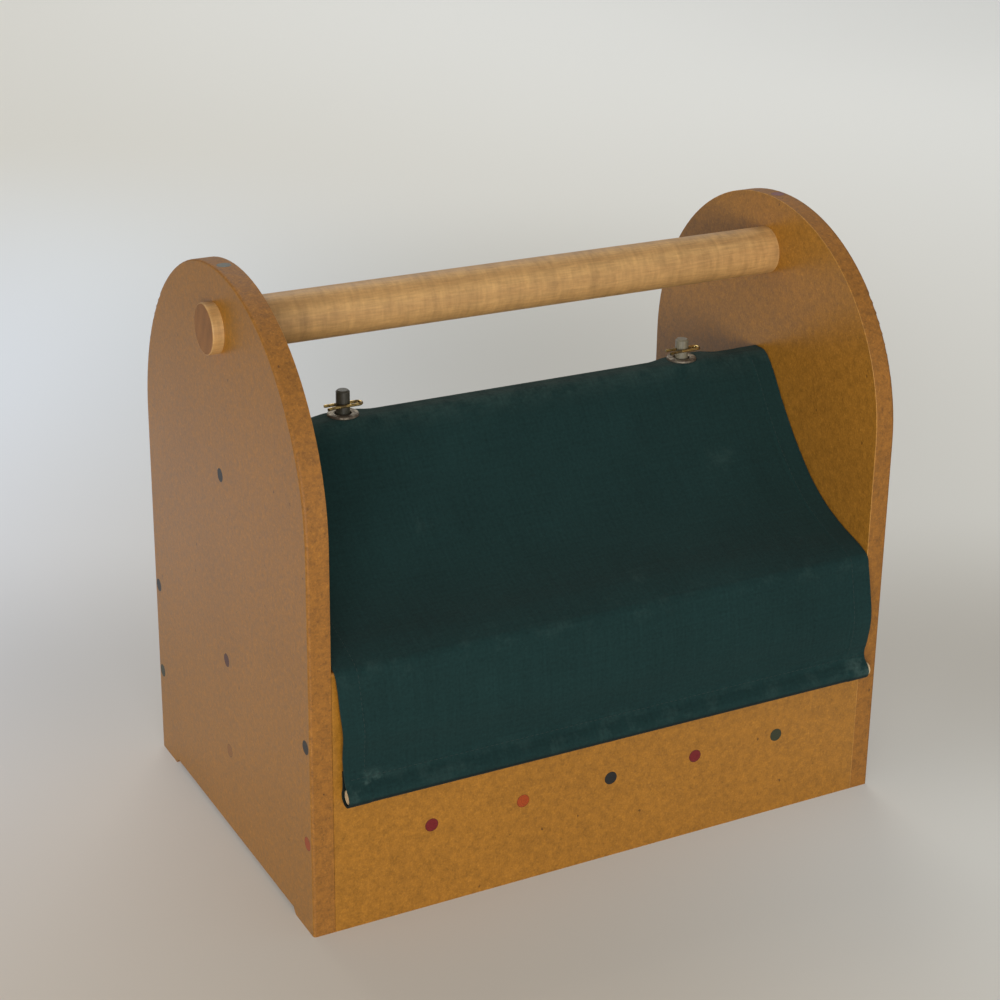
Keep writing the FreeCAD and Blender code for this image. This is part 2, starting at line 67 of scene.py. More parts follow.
def colour(name, description, *default):
    """A colour as it is read off a screen, in steps of 255."""
    return FloatVectorProperty(
        name=name,
        description=description,
        subtype="COLOR_GAMMA",
        min=0,
        max=1,
        default=[step / 255 for step in default],
    )


def place(name, description, *default):
    return FloatVectorProperty(
        name=name,
        description=description,
        size=len(default),
        default=default,
        unit="LENGTH",
        precision=5,
    )


class BoardSettings(bpy.types.PropertyGroup):
    """Sealed fibreboard."""

    face: colour("Face", "Colour of a board's sealed face", 158, 106, 32)
    edge: colour("Edge", "Colour of a board's cut edge", 145, 94, 29)
    speck: colour("Speck", "Colour of the dark fibres", 84, 50, 16)
    pale: colour("Pale fibre", "Colour of the pale fibres", 190, 138, 64)
    fibre: length("Fibre", "Size of the larger fibres", 0.0012)


class WoodSettings(bpy.types.PropertyGroup):
    """Round stock: the handle, the hem rods, the dyed pegs and the posts."""

    handle_wood: colour("Handle", "Colour of the handle's early wood", 194, 152, 95)
    handle_late: colour("Handle late wood", "Colour of the handle's late wood", 160, 115, 65)
    handle_end: colour("Handle end", "Colour of the handle's end grain", 136, 90, 50)
    hem_wood: colour("Hem rod", "Colour of the rods in the hems", 210, 186, 146)
    peg_red: colour("Red dye", "Colour of the red pegs", 114, 18, 24)
    peg_orange: colour("Orange dye", "Colour of the orange pegs", 164, 66, 16)
    peg_slate: colour("Slate dye", "Colour of the slate pegs", 26, 26, 26)
    peg_green: colour("Green dye", "Colour of the green pegs", 46, 52, 30)
    peg_tan: colour("Tan dye", "Colour of the tan pegs", 150, 98, 42)
    peg_brown: colour("Brown dye", "Colour of the brown pegs", 84, 42, 32)
    post_charcoal: colour("Charcoal dye", "Colour of the left post", 62, 60, 50)
    post_grey: colour("Grey dye", "Colour of the right post", 122, 116, 98)


class MetalSettings(bpy.types.PropertyGroup):
    """Clips and grommets."""

    brass: colour("Brass", "Colour of the clips", 190, 164, 104)
    tarnish: colour("Tarnish", "Colour of the clips' tarnish", 70, 56, 36)
    grommet: colour("Grommet", "Colour of the grommets", 128, 120, 106)
    patina: colour("Patina", "Colour of the grommets' patina", 74, 62, 52)


class CoverSettings(bpy.types.PropertyGroup):
    """The canvas cover: places are given as (distance out from the ridge line, height)."""

    dye: colour("Canvas", "Colour of the canvas", 24, 49, 48)
    faded: colour("Faded canvas", "Colour of rubbed and faded canvas", 80, 102, 96)
    thread: colour("Thread", "Colour of the sewing thread", 23, 46, 44)
    thickness: length("Thickness", "Thickness of the canvas", 0.001)
    yarn: length("Yarn", "Distance between two yarns of the weave", 0.00062)
    hem: length("Side hem", "Width of the folded side hems", 0.0135)
    stitch: length("Stitch", "Length of a stitch and its gap", 0.0031)
    thread_radius: length("Thread radius", "Radius of a stitch's thread", 0.00025)
    shoulder: place("Shoulder", "Where the cover leaves the ridge", 0.0102, 0.2442)
    upper_slope: place("Upper slope", "A place on the upper slope", 0.0300, 0.2177)
    lower_slope: place("Lower slope", "A place on the lower slope", 0.0500, 0.1943)
    knee: place("Knee", "Where the slope turns flatter", 0.0690, 0.1782)
    shelf: place("Shelf", "A place between knee and lip", 0.0930, 0.1660)
    bulge_left: length("Bulge, left", "How far the left edge bulges out below the lip", 0.1255)
    bulge_right: length("Bulge, right", "How far the right edge bulges out below the lip", 0.1280)
    bulge_height: length("Bulge height", "Height of the bulge's middle", 0.1190)
    waist: place("Waist", "Where the cover is pinched above its hem", 0.1247, 0.0925)
    tail: place("Tail", "Where the hem's turned-up end stops", 0.1221, 0.0985)


class StageSettings(bpy.types.PropertyGroup):
    """Camera, light and backdrop."""

    azimuth: angle("Azimuth", "Camera's turn from the front", -28.41)
    elevation: angle("Elevation", "Camera's height over the horizon", 20.53)
    roll: angle("Roll", "Camera's roll", 0.84)
    distance: length("Distance", "From the camera to the point it looks at", 1.2773)
    aim: place("Aim", "The point that the camera looks at", -0.0016, 0.0, 0.2242)
    lens: FloatProperty(name="Lens", description="Focal length in millimetres", default=78.42)
    shift: FloatVectorProperty(
        name="Shift",
        description="How far the picture lies off the lens's axis, in picture widths",
        size=2,
        default=(-0.0131, -0.0730),
        precision=4,
    )
    floor_near: colour("Near floor", "Colour of the floor in front of the box", 184, 174, 160)
    floor_far: colour("Far floor", "Colour of the floor behind the box", 190, 190, 186)
    wall: colour("Wall", "Colour of the backdrop's wall", 207, 209, 208)
    daylight: colour("Daylight", "Tint of the backdrop on its window side", 202, 214, 230)


SETTINGS = {
    "box_boards": BoardSettings,
    "box_wood": WoodSettings,
    "box_metal": MetalSettings,
    "box_cover": CoverSettings,
    "box_stage": StageSettings,
}


# Materials


def linear(screen):
    """A screen colour as the render reckons it, with full alpha."""
    parts = [c / 12.92 if c <= 0.04045 else ((c + 0.055) / 1.055) ** 2.4 for c in screen]
    return (*parts, 1.0)


class Wire:
    """A number that varies over a surface; arithmetic on it adds the nodes it needs."""

    def __init__(self, finish, socket):
        self.finish = finish
        self.socket = socket

    def step(self, operation, *terms):
        return self.finish.node("ShaderNodeMath", {"operation": operation}, dict(enumerate(terms)))

    def __add__(self, other):
        return self.step("ADD", self, other)

    __radd__ = __add__

    def __sub__(self, other):
        return self.step("SUBTRACT", self, other)

    def __rsub__(self, other):
        return self.step("SUBTRACT", other, self)

    def __mul__(self, other):
        return self.step("MULTIPLY", self, other)

    __rmul__ = __mul__

    def __truediv__(self, other):
        return self.step("DIVIDE", self, other)

    def __pow__(self, other):
        return self.step("POWER", self, other)

    def __abs__(self):
        return self.step("ABSOLUTE", self)

    def sine(self):
        return self.step("SINE", self)

    def near(self, place, reach):
        """1 at a place, and 0 from a reach on either side of it."""
        return 1 - abs(self - place).above(0, reach)

    def above(self, low, high):
        """0 below low, 1 above high, with a soft step between them."""
        settings = {"interpolation_type": "SMOOTHSTEP"}
        return self.finish.node("ShaderNodeMapRange", settings, {"Value": self, 1: low, 2: high})


class Finish:
    """A material whose nodes are written as expressions."""

    def __init__(self, name):
        self.material = bpy.data.materials.new(name)
        self.material.use_nodes = True
        self.tree = self.material.node_tree
        self.shader = self.tree.nodes["Principled BSDF"]

    def node(self, kind, settings=None, inputs=None, output=0):
        made = self.tree.nodes.new(kind)
        for name, setting in (settings or {}).items():
            setattr(made, name, setting)
        for key, value in (inputs or {}).items():
            self.feed(made.inputs[key], value)
        return Wire(self, made.outputs[output])

    def feed(self, socket, value):
        if isinstance(value, Wire):
            self.tree.links.new(value.socket, socket)
        else:
            socket.default_value = value

    def set(self, **sockets):
        """Feeds the shader; Base_Color stands for Base Color."""
        for name, value in sockets.items():
            self.feed(self.shader.inputs[name.replace("_", " ")], value)

    def coordinate(self, which):
        return self.node("ShaderNodeTexCoord", output=which)

    def placed(self, vector, shift=(0, 0, 0), turn=(0, 0, 0), stretch=(1, 1, 1)):
        settings = {"vector_type": "POINT"}
        inputs = {"Vector": vector, "Location": shift, "Rotation": turn, "Scale": stretch}
        return self.node("ShaderNodeMapping", settings, inputs)

    def parts(self, vector):
        split = self.node("ShaderNodeSeparateXYZ", None, {0: vector})
        return [Wire(self, socket) for socket in split.socket.node.outputs]

    def noise(self, vector, size, detail=2.0, roughness=0.5, twist=0.0):
        """Soft noise from 0 to 1, whose lumps are about the given size in metres."""
        inputs = {
            "Vector": vector,
            "Scale": 1 / size,
            "Detail": detail,
            "Roughness": roughness,
            "Distortion": twist,
        }
        return self.node("ShaderNodeTexNoise", None, inputs)

    def cells(self, vector, size):
        """Distance to scattered points that are about the given size apart, in sizes."""
        inputs = {"Vector": vector, "Scale": 1 / size}
        return self.node("ShaderNodeTexVoronoi", {"feature": "F1"}, inputs)

    def mix(self, share, first, second):
        settings = {"data_type": "RGBA", "clamp_factor": True}
        return self.node("ShaderNodeMix", settings, {0: share, 6: first, 7: second}, output=2)

    def shade(self, tint, amount):
        """The colour made lighter or darker by a factor round 1."""
        settings = {"operation": "SCALE"}
        return self.node("ShaderNodeVectorMath", settings, {0: tint, "Scale": amount})

    def bump(self, height, depth, strength=1.0):
        inputs = {"Height": height, "Distance": depth, "Strength": strength}
        return self.node("ShaderNodeBump", None, inputs)


def dress(node, finish):
    """Gives a CAD node a finish in place of its plain one."""
    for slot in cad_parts[node].material_slots:
        slot.material = finish.material


def board_finish(name, axis, settings, inner=0):
    """Sealed fibreboard whose sheet faces look along an axis (0, 1 or 2).

    An inner face, at the axis's end (1) or start (-1), has a sharp rim with a painted highlight: a pale
    line along it.
    """
    finish = Finish(name)
    spot = finish.coordinate("Object")
    lean = finish.parts(finish.coordinate("Normal"))[axis]
    face = abs(lean).above(0.80, 0.97)
    # Painted highlight: the mask of an inner face's rounded rim, which is painted pale below
    rim = (lean * inner).near(0.65, 0.45)
    cut = 1 - face

    cloud = finish.noise(spot, 0.08, 3.0, 0.6)
    mottle = finish.noise(spot, 0.0036, 3.0, 0.7)
    grain = finish.noise(spot, settings.fibre, 2.0, 0.7)
    crumbs = finish.noise(spot, 2.6 * settings.fibre, 3.0, 0.75, 0.5)
    long_fibres = finish.cells(finish.placed(spot, stretch=(1.0, 0.9, 0.7)), 0.016)
    short_fibres = finish.cells(spot, 3 * settings.fibre)
    specks = 1 - (long_fibres + 0.10 * (grain - 0.5)).above(0.025, 0.055)
    flecks = 1 - (short_fibres + 0.5 * (grain - 0.5)).above(0.06, 0.22)
    pale = grain.above(0.58, 0.72)

    tint = finish.mix(face, linear(settings.edge), linear(settings.face))
    tint = finish.mix(pale * 0.22, tint, linear(settings.pale))
    tint = finish.mix(flecks * (0.16 + 0.14 * cut), tint, linear(settings.speck))
    tint = finish.mix(specks * 0.8, tint, linear(settings.speck))
    # The painted highlight along the inner rim, in the pale fibres' colour
    tint = finish.mix(rim * 0.8, tint, linear(settings.pale))
    light = 1.0 + 0.24 * (cloud - 0.5) + 1.00 * (mottle - 0.5) + 0.75 * (grain - 0.5)
    light = light + (crumbs - 0.5) * cut * 0.8
    finish.set(
        Base_Color=finish.shade(tint, light),
        Roughness=0.36 + 0.20 * (mottle - 0.5) + 0.30 * cut,
        Normal=finish.bump(grain, 0.00004, 0.5),
    )
    return finish


def along_axis(finish, node):
    """A rod's own coordinates (its axis is Z, its middle the origin), half its length and its radius."""
    low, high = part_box(node)
    size = high - low
    axis = max(range(3), key=lambda n: size[n])
    turn = [(0, math.pi / 2, 0), (math.pi / 2, 0, 0), (0, 0, 0)][axis]
    middle = (low + high) / 2
    moved = finish.placed(finish.coordinate("Object"), shift=tuple(-middle))
    return finish.placed(moved, turn=turn), size[axis] / 2, sorted(size)[0] / 2


def dyed_finish(node, settings):
    """A dyed peg: streaks along its side, rings and pores on its ends."""
    finish = Finish("dyed_" + node)
    spot, half, radius = along_axis(finish, node)
    x, y, z = finish.parts(spot)
    out = (x * x + y * y) ** 0.5 / radius
    wobble = finish.noise(spot, 0.003, 2.0)
    off_centre = ((x - 0.4 * radius) * (x - 0.4 * radius) + y * y) ** 0.5 / radius
    rings = (off_centre * 22 + wobble * 5).sine()
    pores = 1 - finish.cells(finish.placed(spot, stretch=(1, 1, 0.1)), 0.0005).above(0.20, 0.45)
    streaks = finish.noise(finish.placed(spot, stretch=(1, 1, 0.06)), 0.0009, 2.0, 0.6)
    rim = out.above(0.84, 1.0) * abs(z / half).above(0.985, 0.995)
    light = 0.95 + 0.10 * rings + 0.60 * (streaks - 0.5) - 0.25 * pores - 0.45 * rim
    finish.set(
        Base_Color=finish.shade(linear(getattr(settings, SLOTS[node]))[:3], light),
        Roughness=0.42 + 0.2 * (streaks - 0.5),
        Normal=finish.bump(streaks - pores * 0.5, 0.00006, 0.5),
    )
    return finish


def handle_finish(settings):
    """A pale turned rod: long growth lines with short flecks, and darker end grain."""
    finish = Finish("handle_wood")
    spot, _, _ = along_axis(finish, "handle")
    x, y, _ = finish.parts(spot)
    bent = finish.noise(finish.placed(spot, stretch=(1, 1, 0.05)), 0.02, 2.0)
    rings = ((y + 0.35 * x) * 700 + bent * 9).sine() * 0.5 + 0.5
    flecks = finish.noise(finish.placed(spot, stretch=(1, 1, 0.45)), 0.0024, 2.0, 0.6).above(0.52, 0.64)
    fine = finish.noise(finish.placed(spot, stretch=(1, 1, 0.08)), 0.0011, 2.0, 0.6)
    curl = finish.noise(finish.placed(spot, stretch=(0.22, 0.22, 1)), 0.0045, 3.0, 0.65)
    cloud = finish.noise(spot, 0.05, 2.0)
    end = abs(finish.parts(finish.coordinate("Normal"))[0]).above(0.75, 0.95)
    tint = finish.mix(rings * 0.30, linear(settings.handle_wood), linear(settings.handle_late))
    tint = finish.mix(flecks * 0.20, tint, linear(settings.handle_late))
    tint = finish.mix(end * 0.90, tint, linear(settings.handle_end))
    light = 0.92 + 0.14 * cloud + 0.55 * (fine - 0.5) + 0.80 * (curl - 0.5)
    light = light + end * (rings - 0.5) * 0.20
    finish.set(
        Base_Color=finish.shade(tint, light),
        Roughness=0.52 + 0.16 * (fine - 0.5) + 0.10 * end,
        Normal=finish.bump(fine * 0.7 + rings * 0.3, 0.00004, 0.5),
    )
    return finish


def hem_rod_finish(node, settings):
    """Bare pale peg stock."""
    finish = Finish("rod_" + node)
    spot, _, _ = along_axis(finish, node)
    x, y, _ = finish.parts(spot)
    rings = ((y + 0.5 * x) * 2400 + finish.noise(spot, 0.004) * 4).sine()
    fine = finish.noise(finish.placed(spot, stretch=(1, 1, 0.04)), 0.0005, 2.0)
    finish.set(
        Base_Color=finish.shade(linear(settings.hem_wood)[:3], 0.92 + 0.06 * rings + 0.2 * (fine - 0.5)),
        Roughness=0.6 + 0.1 * fine,
        Normal=finish.bump(fine, 0.00005, 0.5),
    )
    return finish


def brass_finish(settings):
    """Brass wire with patches of tarnish."""
    finish = Finish("brass_wire")
    spot = finish.coordinate("Object")
    dull = finish.noise(spot, 0.004, 3.0, 0.6).above(0.42, 0.60)
    scratch = finish.noise(finish.placed(spot, stretch=(0.1, 1, 1)), 0.0004, 2.0)
    finish.set(
        Base_Color=finish.mix(dull * 0.85, linear(settings.brass), linear(settings.tarnish)),
        Metallic=1.0 - 0.3 * dull,
        Roughness=0.18 + 0.25 * dull + 0.1 * scratch,
        Normal=finish.bump(scratch, 0.00002, 0.4),
    )
    return finish


def grommet_finish(settings):
    """Plated metal gone dull and brown in patches."""
    finish = Finish("aged_grommet")
    spot = finish.coordinate("Object")
    aged = finish.noise(spot, 0.003, 4.0, 0.65)
    pits = 1 - finish.cells(spot, 0.0012).above(0.15, 0.5)
    old = aged.above(0.42, 0.62)
    finish.set(
        Base_Color=finish.mix(old * 0.85, linear(settings.grommet), linear(settings.patina)),
        Metallic=0.75 - 0.45 * old,
        Roughness=0.42 + 0.25 * old,
        Normal=finish.bump(aged - 0.4 * pits, 0.0002, 0.5),
    )
    return finish


def canvas_finish(shape):
    """Plain-woven cotton; its map gives metres across and along the flat cloth."""
    settings = shape.settings
    finish = Finish("dark_canvas")
    cloth = finish.node("ShaderNodeUVMap", {"uv_map": "cloth"})
    across, along, _ = finish.parts(cloth)
    turn = math.pi / settings.yarn
    warp = (across * turn).sine()
    weft = (along * turn).sine()
    over = (warp * weft).above(-0.15, 0.15)
    warp_hump = abs(warp) ** 0.5 * (0.55 + 0.45 * abs(weft))
    weft_hump = abs(weft) ** 0.5 * (0.55 + 0.45 * abs(warp))
    weave = warp_hump * over + weft_hump * (1 - over)

    slub_warp = finish.noise(finish.placed(cloth, stretch=(1, 0.03, 1)), 0.0016, 2.0, 0.6)
    slub_weft = finish.noise(finish.placed(cloth, stretch=(0.03, 1, 1)), 0.0016, 2.0, 0.6)
    cloud = finish.noise(cloth, 0.05, 3.0, 0.6)
    fuzz = finish.noise(cloth, 0.0018, 2.0, 0.7)
    patches = finish.noise(cloth, 0.014, 4.0, 0.65)

    lip = shape.along[shape.lip_row]
    hem = shape.along[shape.hem_row]
    ridge_rub = (1 - along.above(0.004, 0.022)) * patches.above(0.36, 0.60)
    lip_rub = along.near(lip, 0.016) * patches.above(0.50, 0.70)
    hem_rub = along.near(hem - 0.005, 0.013) * patches.above(0.46, 0.64)
    corner = across.near(shape.left + 0.014, 0.015) + 0.7 * across.near(shape.right, 0.022)
    scuffs = 1 - (finish.cells(cloth, 0.06) + 0.7 * (patches - 0.5)).above(0.0, 0.16)
    rubbed = 0.15 * ridge_rub + 0.09 * lip_rub + hem_rub * (0.10 + 0.55 * corner) + 0.09 * scuffs

    light = 0.86 + 0.20 * weave + 0.34 * (slub_warp - 0.5) + 0.26 * (slub_weft - 0.5)
    light = light + 0.40 * (cloud - 0.5) + 0.75 * (fuzz - 0.5)
    # Painted shade: the cloth past the front of the hem's roll, on its underside, is darkened
    hem_underside_shade = along.above(hem + 0.0002, hem + 0.0026)
    light = light * (1 - 0.65 * hem_underside_shade)
    tint = finish.mix(rubbed, linear(settings.dye), linear(settings.faded))
    finish.set(
        Base_Color=finish.shade(tint, light),
        Roughness=0.92 - 0.06 * weave,
        Specular_IOR_Level=0.12,
        Sheen_Weight=0.04,
        Sheen_Roughness=0.5,
        Normal=finish.bump(weave * 0.8 + fuzz * 0.2, 0.00012, 0.7),
    )
    return finish


def thread_finish(settings):
    """Twisted thread, dyed like the canvas."""
    finish = Finish("sewing_thread")
    spot = finish.coordinate("Object")
    twist = finish.noise(spot, 0.0004, 2.0)
    finish.set(
        Base_Color=finish.shade(linear(settings.thread)[:3], 0.75 + 0.5 * twist),
        Roughness=0.8 + 0.1 * twist,
    )
    return finish


# Modelling helpers


def only(*pieces):
    """Selects these pieces alone; the first is the active one."""
    bpy.ops.object.select_all(action="DESELECT")
    for piece in pieces:
        piece.select_set(True)
    bpy.context.view_layer.objects.active = pieces[0]


def finish_with(piece, kind, **settings):
    """Adds a modifier and applies it."""
    only(piece)
    modifier = piece.modifiers.new(kind, kind)
    for name, setting in settings.items():
        setattr(modifier, name, setting)
    bpy.ops.object.modifier_apply(modifier=modifier.name)


def soft_step(value, low, high):
    """0 below low, 1 above high, with a soft step between them."""
    share = min(max((value - low) / (high - low), 0.0), 1.0)
    return share * share * (3 - 2 * share)


def hump(value, middle, reach, power=2):
    """1 in the middle, about a third at the reach; a higher power makes a flatter top."""
    return math.exp(-(((value - middle) / reach) ** power))


# Canvas cover


class CoverShape:
    """One half of the cover, from the ridge line to the turned-up end of its hem.

    The cloth is laid out in columns across the box and rows along the cloth. Rows follow
    a smooth line in (distance out, height), which differs a little across the width.
    """

    # Rows from one point of the route to the next
    samples = 8

    # Columns: places from a side edge inwards, places from the side hem's inner edge, and the number of
    # steps between the two side hems
    edge_columns = (0, 0.0004, 0.0010, 0.0030, 0.0060, 0.0090)
    hem_columns = (-0.0020, -0.0010, -0.0004, 0.0002, 0.0010, 0.0030)
    inner_columns = 76

    # Half the distance over which the cloth's slope across the box is measured
    slope_step = 0.001

    # Gaps between the cloth and the hem's rod, and between the cloth and the ridge
    rod_gap = 0.00015
    ridge_gap = 0.0003

    # How far out the cloth is flat on the ridge, and where it bends, as (out, up) from the ridge's edge
    ridge_flat = 0.0030
    ridge_bend = (-0.0006, -0.0007)

    # The cloth raised at a grommet: the shares of the flange's radius where it is still flat and where it
    # dips, the dip, its shoulder as (out, up) from the flange, and its reach to either side
    flange_flat = 0.5
    flange_rim = 0.86
    rim_dip = 0.0004
    flange_shoulder = (0.0020, -0.0040)
    tent_reach = 0.0145

    # Steps (out, up) from the board's top outer edge, over which the cloth bends; the third is the lip
    lip_steps = ((-0.0110, 0.0048), (-0.0037, 0.0020), (0.0008, -0.0008), (0.0027, -0.0070))

    # Steps (out, up) along the bulge, from its middle
    bulge_steps = ((-0.0022, 0.0155), (0.0, 0.0), (-0.0018, -0.0150))

    # Turns round the hem's rod, in degrees from straight out; the third is the hem's front
    hem_turns = (48, 24, 0, -45, -90, -135, -180, -222)

    # The left edge: how far it leans to the end board above the lip, how far it is drawn in at the hem, the
    # width of the strip that moves with it, and where the lean fades out, from the lip
    edge_close = 0.0024
    edge_drawn = 0.0008
    edge_reach = 0.06
    close_end = (-0.004, 0.035)

    # The cloth that stands up beside the right grommet: its place from the post, its reach and height, and
    # where it fades out along the cloth
    pucker_place = 0.0165
    pucker_reach = 0.0075
    pucker_height = 0.0016
    pucker_end = (0.006, 0.022)

    # Where waves start along the cloth, and how far lip and seam hold it still
    free_start = (0.03, 0.09)
    lip_reach = 0.014
    seam_reach = 0.02

    # Wide waves and narrow ripples: lumps per metre across and along with a seed, and heights
    wave_pattern = (11, 13, 3.1)
    wave_height = 0.0011
    ripple_pattern = (34, 17, 7.7)
    ripple_height = 0.0004

    # Loose cloth above and below the lip, as (place from the lip, reach), and its height
    loose_places = ((-0.020, 0.012), (0.018, 0.011))
    loose_height = 0.0012

    # The step at the side hem's inner edge: its height, half the width of its slope, and the length from
    # the ridge line in which it rises
    fold_height = 0.00022
    fold_slope = 0.0004
    fold_start = 0.01

    def __init__(self, settings, side):
        self.settings = settings
        self.side = side
        rod_low, rod_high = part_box("hem_rod_front")
        saddle_low, saddle_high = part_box("cover_saddle")
        panel_low, panel_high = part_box("front_panel")
        self.left = saddle_low.x
        self.right = saddle_high.x
        self.top = saddle_high.z - settings.thickness / 2
        self.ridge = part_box("divider")[1]
        self.front = -panel_low.y
        self.panel_top = panel_high.z
        self.rod_out = -(rod_low.y + rod_high.y) / 2
        self.rod_height = (rod_low.z + rod_high.z) / 2
        self.tunnel = (rod_high.z - rod_low.z) / 2 + self.rod_gap + settings.thickness / 2
        posts = [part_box("cover_post_" + end) for end in ("left", "right")]
        self.posts = [(low.x + high.x) / 2 for low, high in posts]
        self.routes = {
            (tent, right): self.route(tent, right) for tent in (False, True) for right in (False, True)
        }
        base = self.routes[False, False]
        self.rows = len(base)
        self.along = [0.0]
        for before, after in zip(base, base[1:]):
            self.along.append(self.along[-1] + (after - before).length)

    def route(self, tent, right):
        """Points of the cloth's middle line, as (distance out, height)."""
        settings = self.settings
        crown = self.grommet_crown() if tent else self.ridge_crown()
        slope = [settings.upper_slope, settings.lower_slope, settings.knee, settings.shelf]
        lip = [(self.front + out, self.panel_top + up) for out, up in self.lip_steps]
        bulge = settings.bulge_right if right else settings.bulge_left
        hang = [(bulge + out, settings.bulge_height + up) for out, up in self.bulge_steps]
        turns = [math.radians(degrees) for degrees in self.hem_turns]
        tunnel = [
            (self.rod_out + self.tunnel * math.cos(turn), self.rod_height + self.tunnel * math.sin(turn))
            for turn in turns
        ]
        points = [*crown, *slope, *lip, *hang, settings.waist, *tunnel, settings.tail]
        points = [tuple(point) for point in points]
        self.lip_row = self.samples * points.index(lip[2])
        self.seam_row = self.samples * points.index(tuple(settings.waist))
        self.hem_row = self.samples * points.index(tunnel[2])
        return self.smooth_line(points)

    def grommet_crown(self):
        """Points from the ridge line over a grommet's flange to the shoulder."""
        low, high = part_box("grommet_left")
        flange = (high.x - low.x) / 2
        out, up = self.flange_shoulder
        return [
            (0, self.top),
            (flange * self.flange_flat, self.top),
            (flange * self.flange_rim, self.top - self.rim_dip),
            (flange + out, self.top + up),
        ]

    def ridge_crown(self):
        """Points from the ridge line over the ridge to the shoulder."""
        height = self.ridge.z + self.settings.thickness / 2 + self.ridge_gap
        out, up = self.ridge_bend
        return [
            (0, height),
            (self.ridge_flat, height),
            (self.ridge.y + out, height + up),
            self.settings.shoulder,
        ]

    def smooth_line(self, points):
        """A line through the points with automatic handles."""
        curve = bpy.data.curves.new("route", "CURVE")
        curve.dimensions = "2D"
        curve.resolution_u = self.samples
        spline = curve.splines.new("BEZIER")
        spline.bezier_points.add(len(points) - 1)
        for knot, (out, height) in zip(spline.bezier_points, points):
            knot.co = (out, height, 0)
            knot.handle_left_type = knot.handle_right_type = "AUTO"
        holder = bpy.data.objects.new("route", curve)
        bpy.context.collection.objects.link(holder)
        bpy.context.view_layer.update()
        line = bpy.data.meshes.new_from_object(holder)
        found = [vertex.co.xy for vertex in line.vertices]
        bpy.data.objects.remove(holder)
        bpy.data.curves.remove(curve)
        bpy.data.meshes.remove(line)
        return found

    def columns(self):
        """Places across the cloth: close together at the side hems, wider between them."""
        fine = list(self.edge_columns)
        fine += [self.settings.hem + step for step in self.hem_columns]
        width = self.right - self.left
        inner = width - 2 * fine[-1]
        wide = [fine[-1] + inner * n / self.inner_columns for n in range(1, self.inner_columns)]
        mirrored = [width - edge for edge in reversed(fine)]
        return [self.left + across for across in fine + wide + mirrored]

    def middle(self, x, row):
        """A place on the cloth's middle surface before its unevenness."""
        tent = max(hump(x, post, self.tent_reach, 4) for post in self.posts)
        right = (x - self.left) / (self.right - self.left)
        low = self.routes[False, False][row].lerp(self.routes[False, True][row], right)
        high = self.routes[True, False][row].lerp(self.routes[True, True][row], right)
        spot = low.lerp(high, tent)
        return Vector((x + self.left_shift(x, row), self.side * spot.x, spot.y + self.pucker(x, row)))

    def left_shift(self, x, row):
        """The left edge runs close to the end board down to the lip, and is drawn in at the hem."""
        along = self.along[row]
        lip = self.along[self.lip_row]
        seam = self.along[self.seam_row]
        start, end = self.close_end
        close = 1 - soft_step(along, lip + start, lip + end)
        drawn = soft_step(along, seam - self.seam_reach, seam)
        beside = 1 - soft_step(x - self.left, 0.0, self.edge_reach)
        return (self.edge_drawn * drawn - self.edge_close * close) * beside

    def pucker(self, x, row):
        """The cloth stands up a little beside the right grommet."""
        beside = hump(x, self.posts[1] + self.pucker_place, self.pucker_reach)
        return self.pucker_height * beside * (1 - soft_step(self.along[row], *self.pucker_end))

    def normal(self, x, row):
        before = self.middle(x, max(row - 1, 0))
        after = self.middle(x, min(row + 1, self.rows - 1))
        across = self.middle(x + self.slope_step, row) - self.middle(x - self.slope_step, row)
        return (after - before).cross(across).normalized() * -self.side

    def lumps(self, x, along, pattern):
        """Smooth noise from about -1 to 1 over the cloth."""
        per_across, per_along, seed = pattern
        return noise.noise(Vector((x * per_across, along * per_along, seed * self.side)))

    def unevenness(self, x, row):
        """Soft waves of the hanging cloth, and the step of its side hems."""
        along = self.along[row]
        lip = self.along[self.lip_row]
        seam = self.along[self.seam_row]
        free = soft_step(along, *self.free_start) * (1 - soft_step(along, seam - self.seam_reach, seam))
        free *= 1 - hump(along, lip, self.lip_reach)
        wave = self.lumps(x, along, self.wave_pattern)
        ripple = self.lumps(x, along, self.ripple_pattern)
        slack = math.sin(math.pi * (x - self.left) / (self.right - self.left))
        loose = slack * sum(hump(along, lip + step, reach) for step, reach in self.loose_places)
        edge = min(x - self.left, self.right - x)
        fold = self.settings.hem
        hem = 1 - soft_step(edge, fold - self.fold_slope, fold + self.fold_slope)
        folded = self.fold_height * hem * soft_step(along, 0.0, self.fold_start)
        waves = free * (self.wave_height * wave + self.ripple_height * ripple)
        return waves + self.loose_height * loose + folded

    def place(self, x, row, lift=0.0):
        return self.middle(x, row) + self.normal(x, row) * (self.unevenness(x, row) + lift)

    def row_at(self, along):
        """The row nearest to a length along the cloth."""
        return min(range(self.rows), key=lambda row: abs(self.along[row] - along))

    def surface(self, x, along, lift=0.0):
        """A place on the cloth at a length along it, between two rows."""
        row = next(n for n in range(1, self.rows) if self.along[n] >= along or n == self.rows - 1)
        share = (along - self.along[row - 1]) / (self.along[row] - self.along[row - 1])
        return self.place(x, row - 1, lift).lerp(self.place(x, row, lift), share)


# A row of the cloth on its upper slope, where its outside looks up
SLOPE_ROW = 20

# The cutter of a grommet's hole: its gap round the post, and its length right through the cloth
HOLE_GAP = 0.0013
CUTTER_LENGTH = 0.02

# Stitches: the share of its step that half a stitch takes, the first one's place along a side hem, the
# length of a side hem that has none, and how far the rows are from the side hem's inner edge and the waist
HALF_STITCH = 0.36
FIRST_STITCH = 0.010
BARE_LENGTH = 0.012
HEM_MARGIN = 0.0014
WAIST_MARGIN = 0.0012

# How deep a stitch's middle line lies in the cloth, as a share of the thread's radius
SUNK = 0.2


